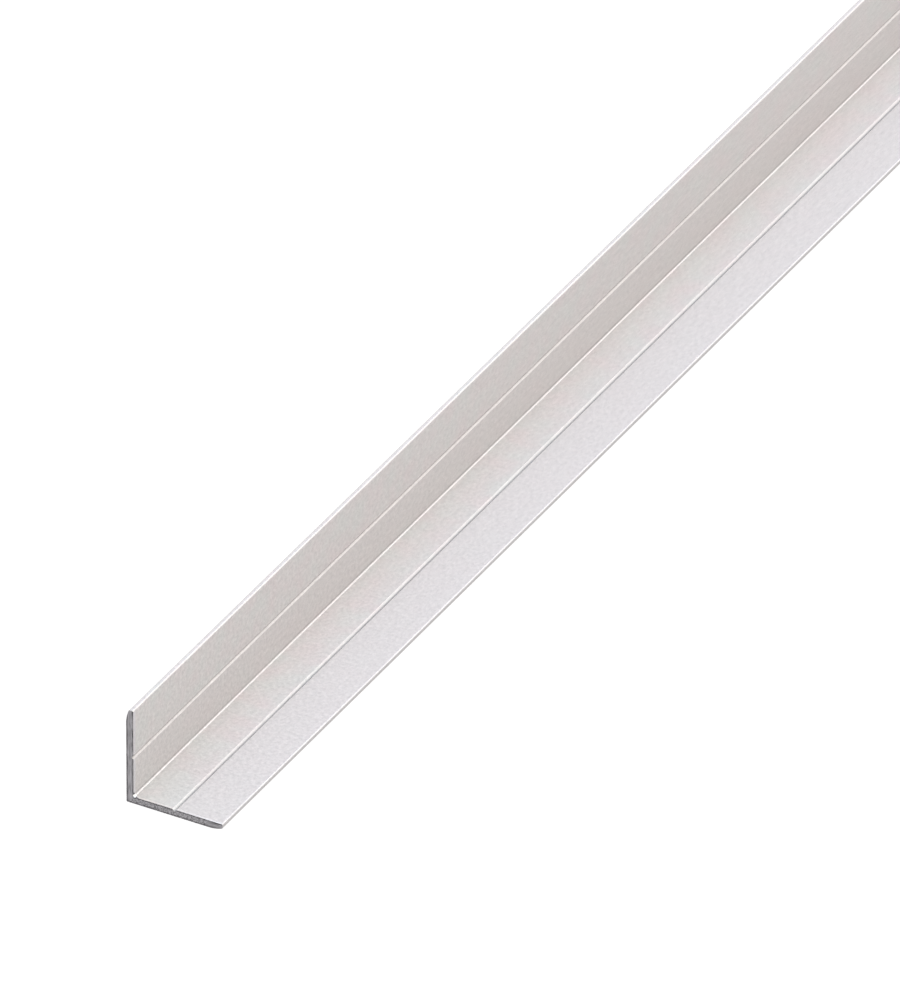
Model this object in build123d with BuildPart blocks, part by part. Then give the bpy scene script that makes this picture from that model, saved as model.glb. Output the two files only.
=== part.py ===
from build123d import *
import os

# Aluminium angle bar: one extrusion with two equal legs, sawn square at both ends.
# Each leg has a V-shaped drill line along the middle of its inner face and an eased outer edge.
# Millimetres. +X runs out along the flat leg, +Y along the bar, +Z up the standing leg.
# The origin is on the flat leg's outer face, under the middle of the section, at mid length.

LENGTH = 1000.0           # one bar as it is sold
FLAT_LEG = 20.0           # outside width of the leg that lies on the floor
STANDING_LEG = 20.0       # outside height of the leg that stands up
WALL = 1.5                # thickness of both legs

GROOVE_WIDTH = 0.85       # drill line, across its mouth
GROOVE_DEPTH = 0.45       # drill line, from the inner face to the bottom of the V

TIP_EASE_LENGTH = 3.0     # how far back from the tip the outer face begins to curve in
TIP_EASE_DEPTH = 0.6      # how far the outer face has curved in at the tip
TIP_OUTER_RADIUS = 0.3    # between the eased outer face and the tip
TIP_INNER_RADIUS = 0.3    # between the tip and the inner face

ROOT_RADIUS = 0.3         # inner corner between the legs
HEEL_RADIUS = 0.2         # outer corner between the legs

# The section is drawn with the heel's outer corner at its own origin, the flat leg along its x
# and the standing leg along its y. Its plane faces -Y and stands at the bar's far end.
SECTION_PLANE = Plane(origin=(-FLAT_LEG / 2, LENGTH / 2, 0), x_dir=(1, 0, 0), z_dir=(0, -1, 0))
# Mirroring in this plane swaps the section's x and y.
HEEL_BISECTOR = Plane(origin=(0, 0, 0), x_dir=(1, 1, 0), z_dir=(1, -1, 0))


def leg_profile(leg_length):
    """One leg along +x: outer face on the x axis, heel end at the origin, eased tip at leg_length."""
    with BuildSketch() as profile:
        with BuildLine():
            outer = Line((0, 0), (leg_length - TIP_EASE_LENGTH, 0))
            ease = TangentArc(outer @ 1, (leg_length, TIP_EASE_DEPTH), tangent=outer % 1)
            tip = Line(ease @ 1, (leg_length, WALL))
            inner = Line(tip @ 1, (0, WALL))
            Line(inner @ 1, outer @ 0)
        make_face()
        nose = profile.vertices().sort_by_distance((leg_length, TIP_EASE_DEPTH))[0]
        fillet(nose, TIP_OUTER_RADIUS)
        inner_corner = profile.vertices().sort_by_distance((leg_length, WALL))[0]
        fillet(inner_corner, TIP_INNER_RADIUS)
        with Locations((leg_length / 2, WALL)):
            mouth = GROOVE_WIDTH / 2
            Polygon((-mouth, 0), (0, -GROOVE_DEPTH), (mouth, 0), align=None, mode=Mode.SUBTRACT)
    return profile.sketch


flat_leg = leg_profile(FLAT_LEG)
standing_leg = leg_profile(STANDING_LEG)

with BuildPart() as angle_bar:
    with BuildSketch(SECTION_PLANE) as section:
        add(flat_leg)
        mirror(standing_leg, about=HEEL_BISECTOR)
        root = section.vertices().sort_by_distance((WALL, WALL))[0]
        fillet(root, ROOT_RADIUS)
        heel = section.vertices().sort_by_distance((0, 0))[0]
        fillet(heel, HEEL_RADIUS)
    extrude(amount=LENGTH)

os.makedirs("parts", exist_ok=True)
angle_bar.part.label = "angle_bar"
export_step(angle_bar.part, "parts/angle_bar.step")
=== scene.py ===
import math

import bmesh
import bpy
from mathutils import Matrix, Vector, noise
from mathutils.kdtree import KDTree


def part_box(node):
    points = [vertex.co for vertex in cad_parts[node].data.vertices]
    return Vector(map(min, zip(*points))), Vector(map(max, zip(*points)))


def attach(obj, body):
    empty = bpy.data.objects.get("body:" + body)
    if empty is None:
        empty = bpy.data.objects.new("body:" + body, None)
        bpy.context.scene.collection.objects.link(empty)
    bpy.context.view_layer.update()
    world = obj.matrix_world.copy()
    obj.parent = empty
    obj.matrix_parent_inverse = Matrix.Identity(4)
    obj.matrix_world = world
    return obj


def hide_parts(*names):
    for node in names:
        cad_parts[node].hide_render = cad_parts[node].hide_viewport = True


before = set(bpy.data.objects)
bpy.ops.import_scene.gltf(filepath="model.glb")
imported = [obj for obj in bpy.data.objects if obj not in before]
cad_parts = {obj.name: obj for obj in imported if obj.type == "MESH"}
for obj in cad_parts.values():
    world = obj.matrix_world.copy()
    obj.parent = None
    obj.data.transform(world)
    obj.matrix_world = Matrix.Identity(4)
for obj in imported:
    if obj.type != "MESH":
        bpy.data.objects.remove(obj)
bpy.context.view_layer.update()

# ---------------------------------------------------------------- sizes, in metres
MM = 0.001
node_low, node_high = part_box("angle_bar")
HEEL_X = node_low.x                     # the standing leg's outer face
BASE_Z = node_low.z                     # the flat leg's outer face
FLAT_LEG = node_high.x - node_low.x
STANDING_LEG = node_high.z - node_low.z
NEAR_END_Y = node_low.y
FAR_END_Y = node_high.y
WALL = 1.5 * MM
GROOVE_WIDTH = 0.85 * MM                # drill line, across its mouth
GROOVE_DEPTH = 0.45 * MM
GROOVE_LIP_RADIUS = 0.07 * MM           # its edges, softened by the anodising bath
TIP_EASE_LENGTH = 3.0 * MM              # the outer faces curve in over this before a tip,
TIP_EASE_DEPTH = 0.6 * MM               # by this much
TIP_OUTER_RADIUS = 0.3 * MM
TIP_INNER_RADIUS = 0.3 * MM
ROOT_RADIUS = 0.3 * MM
HEEL_RADIUS = 0.2 * MM
ROUND_STEP = math.radians(9)            # turn of one step of a round
EASE_STEPS = 14                         # of the curve before a tip
SAME_POINT = 0.001 * MM                 # points of the outline nearer than this are one
OUTLINE_SPACING = 0.01 * MM             # of the points that distances to the outline are taken from
SHARP_ANGLE = math.radians(28)          # faces that meet at more than this are not shaded as one

# ---------------------------------------------------------------- camera, as in the photograph
FRAME_WIDTH_PX = 900
FRAME_HEIGHT_PX = 1000
SENSOR_MM = 36.0
LENS_MM = 1350.0                        # long enough for its lines to run all but parallel
CAMERA_AZIMUTH = 29.374
CAMERA_ELEVATION = 33.36
HEEL_PIXEL = (126.5, 801.3)             # where the near end's lowest outer corner stands
PIXELS_PER_MM = 5.53                    # at that corner
CLIP_NEAR = 0.1
CLIP_FAR = 400.0


def place_camera():
    azimuth = math.radians(CAMERA_AZIMUTH)
    elevation = math.radians(CAMERA_ELEVATION)
    back = Vector((
        math.sin(azimuth) * math.cos(elevation),
        -math.cos(azimuth) * math.cos(elevation),
        math.sin(elevation),
    ))
    right = Vector((math.cos(azimuth), math.sin(azimuth), 0.0))
    up = back.cross(right)
    lens_px = LENS_MM / SENSOR_MM * FRAME_HEIGHT_PX
    distance = lens_px / PIXELS_PER_MM * MM
    heel = Vector((HEEL_X, NEAR_END_Y, BASE_Z))
    across = (HEEL_PIXEL[0] - FRAME_WIDTH_PX / 2) / lens_px * distance
    above = (FRAME_HEIGHT_PX / 2 - HEEL_PIXEL[1]) / lens_px * distance
    data = bpy.data.cameras.new("camera")
    data.lens = LENS_MM
    data.sensor_width = SENSOR_MM
    data.clip_start = CLIP_NEAR
    data.clip_end = CLIP_FAR
    camera = bpy.data.objects.new("camera", data)
    camera.location = heel + back * distance - right * across - up * above
    camera.rotation_mode = "QUATERNION"
    camera.rotation_quaternion = (-back).to_track_quat("-Z", "Y")
    bpy.context.scene.collection.objects.link(camera)
    bpy.context.scene.camera = camera


# ---------------------------------------------------------------- the section's outline
def rounded(corner, before, after, radius):
    """Points of the round that replaces corner, between the directions of before and after."""
    back = (Vector(before) - Vector(corner)).normalized()
    ahead = (Vector(after) - Vector(corner)).normalized()
    half = back.angle(ahead) / 2
    start = Vector(corner) + back * (radius / math.tan(half))
    centre = Vector(corner) + (back + ahead).normalized() * (radius / math.sin(half))
    turn = math.pi - 2 * half
    steps = max(2, round(turn / ROUND_STEP))
    arm = start - centre
    side = math.copysign(1.0, back.x * ahead.y - back.y * ahead.x)
    points = []
    for i in range(steps + 1):
        angle = -side * turn * i / steps
        points.append(Vector((
            centre.x + arm.x * math.cos(angle) - arm.y * math.sin(angle),
            centre.y + arm.x * math.sin(angle) + arm.y * math.cos(angle),
        )))
    return points


def eased_face(leg):
    """Points of the arc that curves the outer face in towards the tip, from the tip's side."""
    radius = (TIP_EASE_LENGTH**2 + TIP_EASE_DEPTH**2) / (2 * TIP_EASE_DEPTH)
    sweep = math.asin(TIP_EASE_LENGTH / radius)
    points = []
    for i in range(EASE_STEPS + 1):
        angle = sweep * (1 - i / EASE_STEPS)
        across = leg - TIP_EASE_LENGTH + radius * math.sin(angle)
        points.append(Vector((across, radius * (1 - math.cos(angle)))))
    return points


def leg_outline(leg):
    """Half the section: from the root round the leg's inner face, tip and outer face to the heel.

    The leg lies along +x with its outer face on the x axis and the heel's corner at the origin.
    """
    middle = leg / 2
    mouth = GROOVE_WIDTH / 2
    ease = eased_face(leg)
    tip_foot = ease[0]
    corners = [
        ((middle - mouth, WALL), GROOVE_LIP_RADIUS),
        ((middle, WALL - GROOVE_DEPTH), GROOVE_LIP_RADIUS),
        ((middle + mouth, WALL), GROOVE_LIP_RADIUS),
        ((leg, WALL), TIP_INNER_RADIUS),
        (tuple(tip_foot), TIP_OUTER_RADIUS),
    ]
    root = rounded((WALL, WALL), (WALL, leg), (leg, WALL), ROOT_RADIUS)
    points = root[len(root) // 2:]
    places = [(WALL, WALL)] + [place for place, _ in corners] + [tuple(ease[1])]
    for i, (place, radius) in enumerate(corners):
        points += rounded(place, places[i], places[i + 2], radius)
    points += [p for p in ease[1:] if (p - tip_foot).length > TIP_OUTER_RADIUS]
    heel = rounded((0, 0), (leg, 0), (0, leg), HEEL_RADIUS)
    points += heel[: len(heel) // 2 + 1]
    return points


def section_outline():
    """The whole section as (x, z), closed, in the object's frame."""
    flat = leg_outline(FLAT_LEG)
    standing = [Vector((p.y, p.x)) for p in leg_outline(STANDING_LEG)]
    closed = flat + standing[::-1]
    distinct = [p for i, p in enumerate(closed) if (p - closed[i - 1]).length > SAME_POINT]
    return [Vector((HEEL_X + p.x, BASE_Z + p.y)) for p in distinct]


def nearest(points):
    """A search tree of a closed line's points, filled in to OUTLINE_SPACING."""
    dense = []
    for i, here in enumerate(points):
        there = points[(i + 1) % len(points)]
        steps = max(1, math.ceil((there - here).length / OUTLINE_SPACING))
        dense += [here.lerp(there, k / steps) for k in range(steps)]
    tree = KDTree(len(dense))
    for i, p in enumerate(dense):
        tree.insert((p.x, 0, p.y), i)
    tree.balance()
    return tree


def edge_distance(edge, place):
    """How far a point of the section lies from its outline, whose search tree is edge."""
    return edge.find((place.x, 0, place.z))[2]


def clamped(value):
    return min(1.0, max(0.0, value))


# ---------------------------------------------------------------- the sawn ends
CELL = WALL / 12                        # an end is a grid of such squares
ON_LINE = 0.003 * MM                    # a point nearer than this to a grid line lies on it
DEBURR_INTO_WALL = 0.02 * MM            # the file's slant along an end's inner edges: into the wall,
DEBURR_ALONG_FLAT = 0.5 * MM            # and along the bar, on the flat leg
DEBURR_ALONG_STANDING = 0.8 * MM        # and on the standing one
DEBURR_UNEVEN = 0.25                    # share by which the latter two wander,
DEBURR_LUMPS = 0.6                      # in so many lumps to the millimetre
DEBURR_FROM_TIP = 0.2 * MM              # the slant runs out this near a leg's tip
DEBURR_FROM_GROOVE = 0.1 * MM           # and this near a drill line's mouth
ROOT_NICK = 0.15 * MM                   # how much further the file went into the wall at the root,
ROOT_NICK_REACH = 0.4 * MM              # and how far from it that shows
FILED_FROM = 0.1                        # a cell whose middle has this share of the slant is filed
SAW_MARK_DEPTH = 0.02 * MM
SAW_MARK_PITCH = 0.35 * MM
SAW_CENTRE = Vector((30 * MM, 30 * MM)) # of the arcs that the blade's teeth leave, from the heel
SAW_WANDER = 3                          # radians by which those arcs' waves wander,
SAW_WANDER_LUMPS = 0.8                  # in so many lumps to the millimetre
SAW_ARC_SHARE = 0.25                    # of their depth: what the arcs make, either way,
SAW_ROUGH_SHARE = 0.4                   # and what the roughness between them does
SAW_ROUGH_LUMPS = 3.0                   # to the millimetre, of that roughness,
SAW_ROUGH_OCTAVES = (0.8, 2.0, 3)       # and its octaves' fall-off, their step and their number
FAR_END_NOISE = 50 * MM                 # the far end's noise is read so far from the near end's


def cut_into_cells(bars):
    """Cuts the section's flat face into a grid.

    It has lines on both faces of both legs, and at the foot of the file's slant.
    """
    for axis, start, size in ((0, HEEL_X, FLAT_LEG), (2, BASE_Z, STANDING_LEG)):
        normal = Vector((0, 0, 0))
        normal[axis] = 1
        steps = [k * CELL for k in range(1, round(size / CELL))]
        for step in steps + [WALL - DEBURR_INTO_WALL]:
            place = Vector((0, 0, 0))
            place[axis] = start + step
            bmesh.ops.bisect_plane(
                bars, geom=bars.verts[:] + bars.edges[:] + bars.faces[:],
                dist=ON_LINE, plane_co=place, plane_no=normal,
            )


def deburred_share(x, z, from_edge):
    """1 on the end's inner edges, and 0 from the slant's foot inwards.

    It is 0 too along the outer edges, in the drill lines and at the tips.
    """
    from_back = x - HEEL_X
    from_base = z - BASE_Z
    if min(from_back, from_base) < WALL / 2:
        return 0.0
    to_tip = min(FLAT_LEG - from_back, STANDING_LEG - from_base)
    to_middle = min(abs(FLAT_LEG / 2 - from_back), abs(STANDING_LEG / 2 - from_base))
    to_groove = to_middle - GROOVE_WIDTH / 2
    fade = clamped(min(to_tip / DEBURR_FROM_TIP - 1.0, to_groove / DEBURR_FROM_GROOVE))
    from_root = math.hypot(from_back - WALL, from_base - WALL)
    into_wall = DEBURR_INTO_WALL + ROOT_NICK * math.exp(-((from_root / ROOT_NICK_REACH) ** 2))
    return fade * max(0.0, 1.0 - from_edge / into_wall)


def sawn_depth(x, z, from_edge, end):
    """How far the end's surface lies inside the bar's length: filed slant and saw marks."""
    place = Vector((x, z, end)) / MM
    across = x - HEEL_X
    up = z - BASE_Z
    standing = clamped(0.5 + (up - across) / WALL)
    length = DEBURR_ALONG_FLAT + (DEBURR_ALONG_STANDING - DEBURR_ALONG_FLAT) * standing
    length *= 1 + DEBURR_UNEVEN * 2 * noise.noise(place * DEBURR_LUMPS)
    from_centre = (Vector((across, up)) - SAW_CENTRE).length
    wander = SAW_WANDER * noise.noise(place * SAW_WANDER_LUMPS)
    tooth = math.sin(2 * math.pi * from_centre / SAW_MARK_PITCH + wander)
    rough = noise.fractal(place * SAW_ROUGH_LUMPS, *SAW_ROUGH_OCTAVES)
    marks = SAW_MARK_DEPTH * clamped(0.5 + SAW_ARC_SHARE * tooth + SAW_ROUGH_SHARE * rough)
    return length * deburred_share(x, z, from_edge) + marks


# ---------------------------------------------------------------- where the finish changes
GROOVE_SHADE_CORE = 0.12 * MM           # painted shade: a drill line is darkest this near its bottom
GROOVE_SHADE_REACH = 0.32 * MM          # and as light as the rest from here on
GROOVE_SIDE = 0.58 * MM                 # its sides end within this of its bottom,
STANDING_GROOVE_SIDE_SHADE = 0.26             # and on the standing leg have at least this share of that painted shade, which dims the highlight there
ROOT_SHADE_REACH = 0.40 * MM                  # painted shade in the crease: the standing leg is darker this near the root's round
ROOT_SLACK = 0.003 * MM                 # a point so far past the root's round still counts as on it
FLAT_INNER_PATCHES = 1.0                # how plain the patches of tint are from the root to the flat
FLAT_OUTER_PATCHES = 0.15               # leg's drill line, from there to its tip,
STANDING_LOWER_PATCHES = 0.2            # and on the standing leg below
STANDING_UPPER_PATCHES = 0.9            # and above its drill line


def mark(mesh, name, share_at):
    """Stores share_at(across, up), both from the heel, with each point, for the material to read."""
    layer = mesh.attributes.new(name, "FLOAT", "POINT")
    for vertex, item in zip(mesh.vertices, layer.data):
        item.value = clamped(share_at(vertex.co.x - HEEL_X, vertex.co.z - BASE_Z))


def from_groove(along, into_wall, leg):
    """How far a point lies from the bottom of its leg's drill line."""
    return math.hypot(along - leg / 2, into_wall - (WALL - GROOVE_DEPTH))


def groove_dark(from_bottom, side_shade=0.0):
    """Painted shade: 1 at a drill line's bottom, at least the given share on its sides and nothing
    elsewhere.
    """
    share = (GROOVE_SHADE_REACH - from_bottom) / (GROOVE_SHADE_REACH - GROOVE_SHADE_CORE)
    return max(share, side_shade) if from_bottom < GROOVE_SIDE else 0.0


# painted shade in the flat leg's drill line
def in_flat_groove(across, up):
    return groove_dark(from_groove(across, up, FLAT_LEG))


# painted shade in the standing leg's drill line, which also dims its highlight
def in_standing_groove(across, up):
    return groove_dark(from_groove(up, across, STANDING_LEG), STANDING_GROOVE_SIDE_SHADE)


def cooler(across, up):
    """Painted tint of the highlights: 1 in the flat leg's drill line and on the round before its tip,
    where they fall.
    """
    in_line = from_groove(across, up, FLAT_LEG) < GROOVE_SIDE
    on_round = across > FLAT_LEG - TIP_INNER_RADIUS and up > WALL - TIP_INNER_RADIUS
    return 1.0 if in_line or on_round else 0.0


def patchy(across, up):
    """How plain the patches of tint are, which differs between the halves of either leg."""
    if across > up:
        return FLAT_INNER_PATCHES if across < FLAT_LEG / 2 else FLAT_OUTER_PATCHES
    return STANDING_LOWER_PATCHES if up < STANDING_LEG / 2 else STANDING_UPPER_PATCHES


def in_root(across, up):
    """1 on the round between the legs, where the filed metal has a painted highlight."""
    near = max(across, up) < WALL + ROOT_RADIUS + ROOT_SLACK
    return 1.0 if near and min(across, up) > WALL / 2 else 0.0


def above_root(across, up):
    """Painted shade in the crease: 1 on the standing leg's foot, right above the root's round."""
    above = up - WALL - ROOT_RADIUS
    if across > WALL + ROOT_RADIUS or above < 0:
        return 0.0
    return 1 - above / ROOT_SHADE_REACH


def on_flat_tip(across, up):
    """Painted shade, standing in for a darker reflection of the floor: 1 on the flat leg's tip, short of
    the round that runs onto its inner face.
    """
    if across < FLAT_LEG - TIP_OUTER_RADIUS:
        return 0.0
    return (WALL - TIP_INNER_RADIUS / 2 - up) / (TIP_INNER_RADIUS / 2)


def behind_tip(across, up):
    """Painted highlight: 1 on the round that runs from the standing leg's tip onto its outer face."""
    if up < STANDING_LEG - TIP_OUTER_RADIUS:
        return 0.0
    return (TIP_EASE_DEPTH + TIP_OUTER_RADIUS - across) / (TIP_OUTER_RADIUS / 2)


# ---------------------------------------------------------------- the bar
SAWN = 1                                # places of the bar's materials, after its skin's
FILED = 2


def put_in_order(bars):
    """Sorts the mesh's elements by place, because extruding leaves them in no fixed order."""
    for elements, place in (
        (bars.verts, lambda point: point.co[:]),
        (bars.edges, lambda line: (line.verts[0].co + line.verts[1].co)[:]),
        (bars.faces, lambda face: face.calc_center_median()[:]),
    ):
        for i, element in enumerate(sorted(elements, key=place)):
            element.index = i
        elements.sort(key=lambda element: element.index)


def make_mesh():
    """The section extruded, with both ends sawn and filed, and its sharp edges told apart."""
    outline = section_outline()
    edge = nearest(outline)
    bars = bmesh.new()
    bars.faces.new([bars.verts.new((p.x, NEAR_END_Y, p.y)) for p in outline])
    cut_into_cells(bars)
    near = bars.verts[:]
    made = bmesh.ops.extrude_face_region(
        bars, geom=bars.verts[:] + bars.edges[:] + bars.faces[:], use_keep_orig=True
    )
    far = [v for v in made["geom"] if isinstance(v, bmesh.types.BMVert)]
    for v in far:
        v.co.y = FAR_END_Y
    bmesh.ops.recalc_face_normals(bars, faces=bars.faces)
    for face in bars.faces:
        face.smooth = True
        if abs(face.normal.y) > 0.5:
            middle = face.calc_center_median()
            share = deburred_share(middle.x, middle.z, edge_distance(edge, middle))
            face.material_index = FILED if share > FILED_FROM else SAWN
    for v in near:
        v.co.y += sawn_depth(v.co.x, v.co.z, edge_distance(edge, v.co), 0)
    for v in far:
        v.co.y -= sawn_depth(v.co.x, v.co.z, edge_distance(edge, v.co), FAR_END_NOISE)
    for line in bars.edges:
        one, other = line.link_faces
        same = one.material_index == other.material_index
        line.smooth = same and line.calc_face_angle() < SHARP_ANGLE
    put_in_order(bars)
    mesh = bpy.data.meshes.new("angle_bar_skin")
    bars.to_mesh(mesh)
    bars.free()
    return mesh


def make_bar():
    mesh = make_mesh()
    mark(mesh, "in_flat_groove", in_flat_groove)
    mark(mesh, "in_standing_groove", in_standing_groove)
    mark(mesh, "patchy", patchy)
    mark(mesh, "cooler", cooler)
    mark(mesh, "in_root", in_root)
    mark(mesh, "above_root", above_root)
    mark(mesh, "on_flat_tip", on_flat_tip)
    mark(mesh, "behind_tip", behind_tip)
    piece = bpy.data.objects.new("angle_bar_skin", mesh)
    bpy.context.scene.collection.objects.link(piece)
    mesh.materials.append(anodised_aluminium())
    mesh.materials.append(sawn_aluminium())
    mesh.materials.append(filed_aluminium())
    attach(piece, "root")
    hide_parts("angle_bar")


# ---------------------------------------------------------------- nodes that the materials share
def new_material(name):
    material = bpy.data.materials.new(name)
    material.use_nodes = True
    tree = material.node_tree
    return material, tree, tree.nodes["Principled BSDF"]


def noise_texture(tree, per_metre, detail, roughness,
                  stretch=(1, 1, 1), curl=0.0, shift=(0, 0, 0)):
    """Noise on the object's own coordinates, as many lumps to the metre as it is told."""
    place = tree.nodes.new("ShaderNodeTexCoord")
    mapping = tree.nodes.new("ShaderNodeMapping")
    mapping.inputs["Location"].default_value = shift
    mapping.inputs["Scale"].default_value = stretch
    tree.links.new(place.outputs["Object"], mapping.inputs["Vector"])
    texture = tree.nodes.new("ShaderNodeTexNoise")
    texture.inputs["Scale"].default_value = per_metre
    texture.inputs["Detail"].default_value = detail
    texture.inputs["Roughness"].default_value = roughness
    texture.inputs["Distortion"].default_value = curl
    tree.links.new(mapping.outputs["Vector"], texture.inputs["Vector"])
    return texture.outputs["Fac"]


def spread(tree, value, low, high, from_low=0.3, from_high=0.7):
    """value, from the range that noise mostly keeps to, to low..high."""
    span = tree.nodes.new("ShaderNodeMapRange")
    span.inputs["From Min"].default_value = from_low
    span.inputs["From Max"].default_value = from_high
    span.inputs["To Min"].default_value = low
    span.inputs["To Max"].default_value = high
    tree.links.new(value, span.inputs["Value"])
    return span.outputs["Result"]


def calculate(tree, operation, first, second=None):
    """One Math node; first and second are sockets or numbers."""
    made = tree.nodes.new("ShaderNodeMath")
    made.operation = operation
    for socket, value in zip(made.inputs, (first, second)):
        if isinstance(value, (int, float)):
            socket.default_value = value
        elif value is not None:
            tree.links.new(value, socket)
    return made.outputs[0]


def between(tree, factor, first, second):
    """The socket first where factor is 0, second where it is 1."""
    mix = tree.nodes.new("ShaderNodeMix")
    tree.links.new(factor, mix.inputs["Factor"])
    tree.links.new(first, mix.inputs["A"])
    tree.links.new(second, mix.inputs["B"])
    return mix.outputs["Result"]


def blend(tree, factor, first, second):
    """A colour between first and second, each a socket or three numbers."""
    mix = tree.nodes.new("ShaderNodeMix")
    mix.data_type = "RGBA"
    tree.links.new(factor, mix.inputs["Factor"])
    for socket, colour in ((mix.inputs["A"], first), (mix.inputs["B"], second)):
        if isinstance(colour, tuple):
            socket.default_value = (*colour, 1.0)
        else:
            tree.links.new(colour, socket)
    return mix.outputs["Result"]


def bump(tree, height, distance, below=None):
    made = tree.nodes.new("ShaderNodeBump")
    made.inputs["Strength"].default_value = 1.0
    made.inputs["Distance"].default_value = distance
    tree.links.new(height, made.inputs["Height"])
    if below is not None:
        tree.links.new(below, made.inputs["Normal"])
    return made.outputs["Normal"]


def marked(tree, name, most=1.0):
    """What mark() stored under this name, from 0 to most."""
    stored = tree.nodes.new("ShaderNodeAttribute")
    stored.attribute_name = name
    return calculate(tree, "MULTIPLY", stored.outputs["Fac"], most)


def object_place(tree):
    """The x, y and z sockets of a point's place in the object's frame."""
    place = tree.nodes.new("ShaderNodeTexCoord")
    split = tree.nodes.new("ShaderNodeSeparateXYZ")
    tree.links.new(place.outputs["Object"], split.inputs["Vector"])
    return split.outputs["X"], split.outputs["Y"], split.outputs["Z"]


def depths(tree):
    """Sockets with how far a point lies inside the standing leg's back and above the flat leg's base."""
    x, _, z = object_place(tree)
    from_back = calculate(tree, "SUBTRACT", x, HEEL_X)
    from_base = calculate(tree, "SUBTRACT", z, BASE_Z)
    return from_back, from_base


# ---------------------------------------------------------------- the anodised film, with painted shade and highlights
ROSY = ((0.566, 0.527, 0.514), (0.717, 0.669, 0.652))   # the film's two tints, each from where
GREEN = ((0.545, 0.54, 0.519), (0.694, 0.688, 0.661))   # it is clouded to where it is clear
TINT_SHIFT = (0.113, 0.171, 0.137)      # puts one of the greener patches near the near end
END_GREEN = 0.35                        # how much greener the film is at the bar's ends,
END_GREEN_REACH = 30 * MM               # and how far from them that shows
# a painted tint for the flat leg's highlights
COOL_HIGHLIGHT_TINT = (0.505, 0.518, 0.535)
# the tone of a painted highlight
PALE_HIGHLIGHT = (0.9, 0.86, 0.6)
# tones of painted shade
WARM_SHADE = (0.2, 0.19, 0.185)
COOL_SHADE = (0.2, 0.208, 0.213)
PAINTED_LIGHT_MARKS = (                          # painted shade and highlights: how far the film turns where it is marked, and to what tone
    # painted tint that cools the highlights on the flat leg's drill line and tip round
    ("cooler", 0.3, COOL_HIGHLIGHT_TINT),
    # painted shade in the drill lines, darkest at their bottoms
    ("in_standing_groove", 0.78, WARM_SHADE),
    ("in_flat_groove", 0.57, COOL_SHADE),
    # painted shade in the crease above the root
    ("above_root", 0.48, WARM_SHADE),
    # painted shade on the flat leg's tip
    ("on_flat_tip", 0.18, COOL_SHADE),
    # painted highlight on the round behind the standing leg's tip
    ("behind_tip", 0.1, PALE_HIGHLIGHT),
)
FILM_ROUGHNESS = (0.56, 0.64)
DRAWN_LINE_DEPTH = 0.002 * MM           # of the fine lines that the die leaves along the bar,
ETCHED_DEPTH = 0.0075 * MM              # and of the etched grain over them
EDGE_TINT = (0.6, 0.6, 0.6, 1.0)        # the film reflects less at a grazing angle than bare metal


def by_ends(tree):
    """END_GREEN at the bar's ends, and nothing from its reach inwards."""
    _, y, _ = object_place(tree)
    from_middle = calculate(tree, "ABSOLUTE", y)
    return spread(tree, from_middle, 0, END_GREEN, FAR_END_Y - END_GREEN_REACH, FAR_END_Y)


def film_colour(tree, cloud, tint):
    """Cloudy, in patches of two tints, with painted shade and highlights where it is marked."""
    clouds = spread(tree, cloud, 0, 1)
    rosy = blend(tree, clouds, *ROSY)
    green = blend(tree, clouds, *GREEN)
    patches = calculate(tree, "ADD", spread(tree, tint, -0.5, 0.5), by_ends(tree))
    patches = calculate(tree, "MULTIPLY", patches, marked(tree, "patchy"))
    colour = blend(tree, calculate(tree, "ADD", patches, 0.5), rosy, green)
    for name, most, tone in PAINTED_LIGHT_MARKS:
        colour = blend(tree, marked(tree, name, most), colour, tone)
    return colour


def anodised_aluminium():
    """Silver anodised, satin: cloudy, with a fine etched grain, and painted shade along the drill lines.
    """
    material, tree, shader = new_material("anodised_aluminium")
    cloud = noise_texture(tree, per_metre=1300, detail=3, roughness=0.75)
    tint = noise_texture(tree, per_metre=200, detail=1, roughness=0.5, shift=TINT_SHIFT)
    grain = noise_texture(tree, per_metre=4200, detail=2, roughness=0.6)
    lines = noise_texture(tree, per_metre=2600, detail=2, roughness=0.5, stretch=(1, 0.006, 1))
    tree.links.new(film_colour(tree, cloud, tint), shader.inputs["Base Color"])
    tree.links.new(spread(tree, grain, *FILM_ROUGHNESS), shader.inputs["Roughness"])
    under = bump(tree, lines, DRAWN_LINE_DEPTH)
    tree.links.new(bump(tree, grain, ETCHED_DEPTH, under), shader.inputs["Normal"])
    shader.inputs["Specular Tint"].default_value = EDGE_TINT
    shader.inputs["Metallic"].default_value = 1.0
    return material


# ---------------------------------------------------------------- the sawn ends' bare metal
SAWN_TONES = ((0.08, 0.078, 0.08), (0.5, 0.487, 0.5))   # at 0 and at 1 of the numbers below
SAWN_MIDDLE = 0.54                      # tone of mid-wall,
SAWN_FLAT = -0.04                       # how much that differs on the flat leg,
SAWN_RIM = 0.36                         # and how much darker it is by the wall's faces
RIM_CENTRE = 0.52                       # depth in the wall, as a share of it, that is lightest,
RIM_FROM = 0.25                         # from where the rim begins, either way,
RIM_TO = 0.34                           # and where it has all its dark
RIM_BLOTCHES = (0.75, 1.15)             # share of that dark, which is blotched
STANDING_SPECKLE = 0.25                 # how far the specks go either way: on the standing leg,
FLAT_SPECKLE = 0.5                      # on the flat one, where they curl,
FLAT_TIP_SPECKLE = 0.3                  # and by its tip, where they lie level
TIP_SPECKLE_FROM = 4 * MM               # from the tip, where that begins
TIP_SPECKLE_TO = 3 * MM                 # and where it is complete
SAWN_ROUGHNESS = (0.45, 0.6)
SAWN_BUMP_DEPTH = 0.02 * MM


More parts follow.
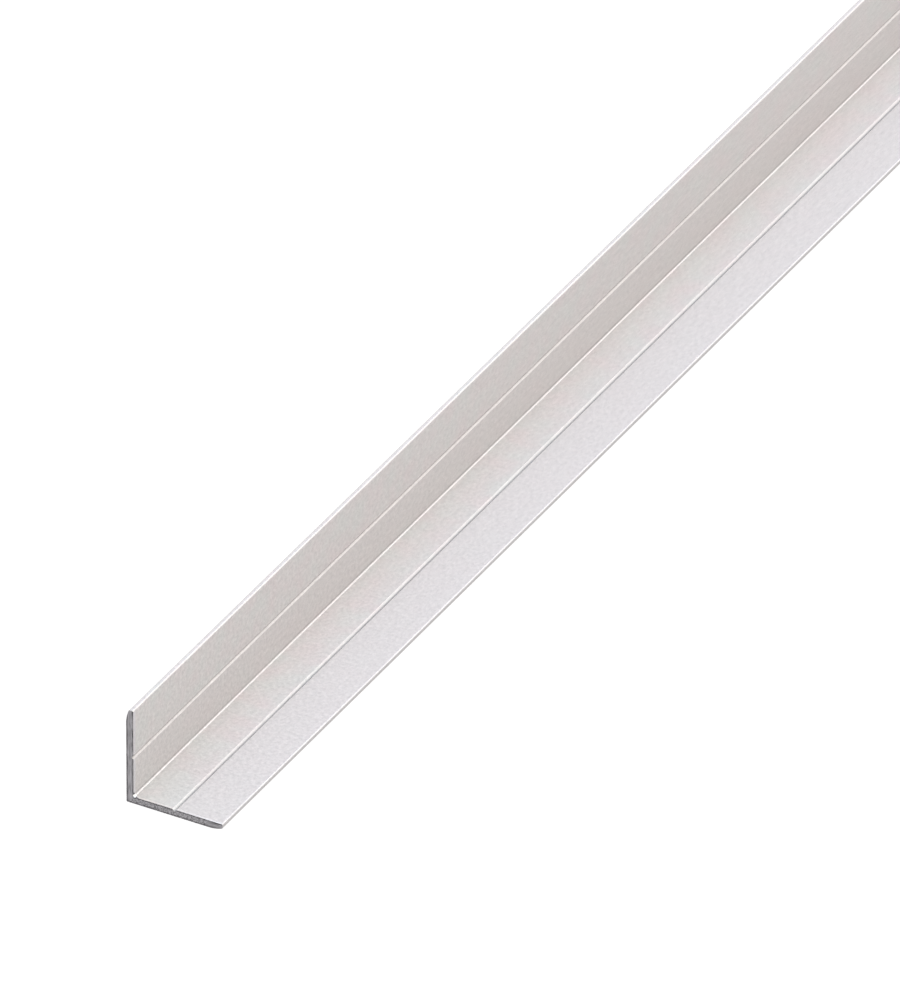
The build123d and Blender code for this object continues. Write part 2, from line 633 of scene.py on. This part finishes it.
def flat_specks(tree, from_back, curls):
    level = noise_texture(tree, per_metre=3600, detail=2, roughness=0.5,
                          stretch=(0.12, 1, 1), curl=0.4)
    near_tip = spread(tree, from_back, 0, 1, FLAT_LEG - TIP_SPECKLE_FROM, FLAT_LEG - TIP_SPECKLE_TO)
    return between(
        tree, near_tip,
        spread(tree, curls, SAWN_FLAT - FLAT_SPECKLE, SAWN_FLAT + FLAT_SPECKLE),
        spread(tree, level, SAWN_FLAT - FLAT_TIP_SPECKLE, SAWN_FLAT + FLAT_TIP_SPECKLE),
    )


def standing_specks(tree):
    upright = noise_texture(tree, per_metre=3600, detail=2, roughness=0.5,
                            stretch=(1, 1, 0.12), curl=0.4)
    return spread(tree, upright, -STANDING_SPECKLE, STANDING_SPECKLE)


def rim_dark(tree, from_back, from_base):
    """How much darker a sawn end is than mid-wall, towards both faces of the wall."""
    blotch = noise_texture(tree, per_metre=1100, detail=1, roughness=0.5)
    depth = calculate(tree, "DIVIDE", calculate(tree, "MINIMUM", from_back, from_base), WALL)
    off_middle = calculate(tree, "ABSOLUTE", calculate(tree, "SUBTRACT", depth, RIM_CENTRE))
    rim = spread(tree, off_middle, 0, 1, RIM_FROM, RIM_TO)
    rim = calculate(tree, "MULTIPLY", rim, spread(tree, blotch, *RIM_BLOTCHES))
    return calculate(tree, "MULTIPLY", rim, SAWN_RIM)


def sawn_aluminium():
    """Bare metal as the saw leaves it: dark, speckled, and darker towards both faces."""
    material, tree, shader = new_material("sawn_aluminium")
    from_back, from_base = depths(tree)
    on_flat_leg = calculate(tree, "GREATER_THAN", from_back, from_base)
    curls = noise_texture(tree, per_metre=3800, detail=1, roughness=0.6, curl=0.9)
    specks = between(tree, on_flat_leg, standing_specks(tree), flat_specks(tree, from_back, curls))
    lit = calculate(tree, "ADD", specks, SAWN_MIDDLE)
    tone = calculate(tree, "SUBTRACT", lit, rim_dark(tree, from_back, from_base))
    tree.links.new(blend(tree, tone, *SAWN_TONES), shader.inputs["Base Color"])
    tree.links.new(spread(tree, curls, *SAWN_ROUGHNESS), shader.inputs["Roughness"])
    tree.links.new(bump(tree, curls, SAWN_BUMP_DEPTH), shader.inputs["Normal"])
    shader.inputs["Metallic"].default_value = 1.0
    return material


# ---------------------------------------------------------------- the filed edges' bare metal
FILED_STANDING = ((0.5, 0.492, 0.505), (0.625, 0.615, 0.63))    # its darkest and its lightest,
FILED_FLAT = ((0.665, 0.655, 0.65), (0.81, 0.8, 0.79))          # on either leg, the flat one's lighter as a painted highlight,
FILED_ROOT_HIGHLIGHT = (0.9, 0.89, 0.84)          # and its one tone in the root, a painted highlight
FILED_ROUGHNESS = (0.3, 0.45)
SCRATCH_DEPTH = 0.01 * MM


def filed_aluminium():
    """Bright bare metal where the file took the saw's burr off, painted lighter on the flat leg and in
    the root as painted highlights.
    """
    material, tree, shader = new_material("filed_aluminium")
    from_back, from_base = depths(tree)
    on_flat_leg = calculate(tree, "GREATER_THAN", from_back, from_base)
    scratches = noise_texture(tree, per_metre=3000, detail=3, roughness=0.6)
    share = spread(tree, scratches, 0, 1)
    standing = blend(tree, share, *FILED_STANDING)
    flat = blend(tree, share, *FILED_FLAT)
    legs = blend(tree, on_flat_leg, standing, flat)
    # painted highlight at the root
    rooted = blend(tree, marked(tree, "in_root"), legs, FILED_ROOT_HIGHLIGHT)
    tree.links.new(rooted, shader.inputs["Base Color"])
    tree.links.new(spread(tree, scratches, *FILED_ROUGHNESS), shader.inputs["Roughness"])
    tree.links.new(bump(tree, scratches, SCRATCH_DEPTH), shader.inputs["Normal"])
    shader.inputs["Metallic"].default_value = 1.0
    return material


# ---------------------------------------------------------------- floor and light
FLOOR_HALF = 200.0
FLOOR_GREY = (0.04, 0.04, 0.04, 1.0)
FLOOR_GLOW = (1.0, 0.99, 0.995, 1.0)
FLOOR_GLOW_STRENGTH = 1.02
DOME_GLOW = (1.089, 1.092, 1.163, 1.0)
KEY_FROM = (0.38, 0.6, 0.7)             # a warm light over the far end, on the angle's open side
KEY_STRENGTH = 1.45
KEY_COLOUR = (1.0, 0.947, 0.851)
TOP_FROM = (0.0, 0.1, 1.0)              # and a cool one overhead
TOP_STRENGTH = 0.63
TOP_COLOUR = (0.338, 0.581, 1.0)
LIGHT_SPREAD = 60                       # degrees that each of them spans


def floor_white():
    """A pale light table: it glows, so that the bar throws next to no shadow on it."""
    material, _, shader = new_material("floor_white")
    shader.inputs["Base Color"].default_value = FLOOR_GREY
    shader.inputs["Roughness"].default_value = 1.0
    shader.inputs["Specular IOR Level"].default_value = 0.0
    shader.inputs["Emission Color"].default_value = FLOOR_GLOW
    shader.inputs["Emission Strength"].default_value = FLOOR_GLOW_STRENGTH
    return material


def make_floor():
    mesh = bpy.data.meshes.new("floor")
    h = FLOOR_HALF
    mesh.from_pydata([(-h, -h, 0), (h, -h, 0), (h, h, 0), (-h, h, 0)], [], [(0, 1, 2, 3)])
    floor = bpy.data.objects.new("floor", mesh)
    mesh.materials.append(floor_white())
    bpy.context.scene.collection.objects.link(floor)


def soft_sun(name, towards, strength, colour):
    data = bpy.data.lights.new(name, "SUN")
    data.energy = strength
    data.angle = math.radians(LIGHT_SPREAD)
    data.color = colour
    sun = bpy.data.objects.new(name, data)
    sun.rotation_mode = "QUATERNION"
    sun.rotation_quaternion = Vector(towards).to_track_quat("Z", "Y")
    bpy.context.scene.collection.objects.link(sun)


def make_light():
    world = bpy.data.worlds.new("studio")
    world.use_nodes = True
    world.node_tree.nodes["Background"].inputs["Color"].default_value = DOME_GLOW
    bpy.context.scene.world = world
    soft_sun("key_light", KEY_FROM, KEY_STRENGTH, KEY_COLOUR)
    soft_sun("top_light", TOP_FROM, TOP_STRENGTH, TOP_COLOUR)


place_camera()
make_floor()
make_light()
make_bar()
bpy.context.scene.view_settings.view_transform = "Standard"
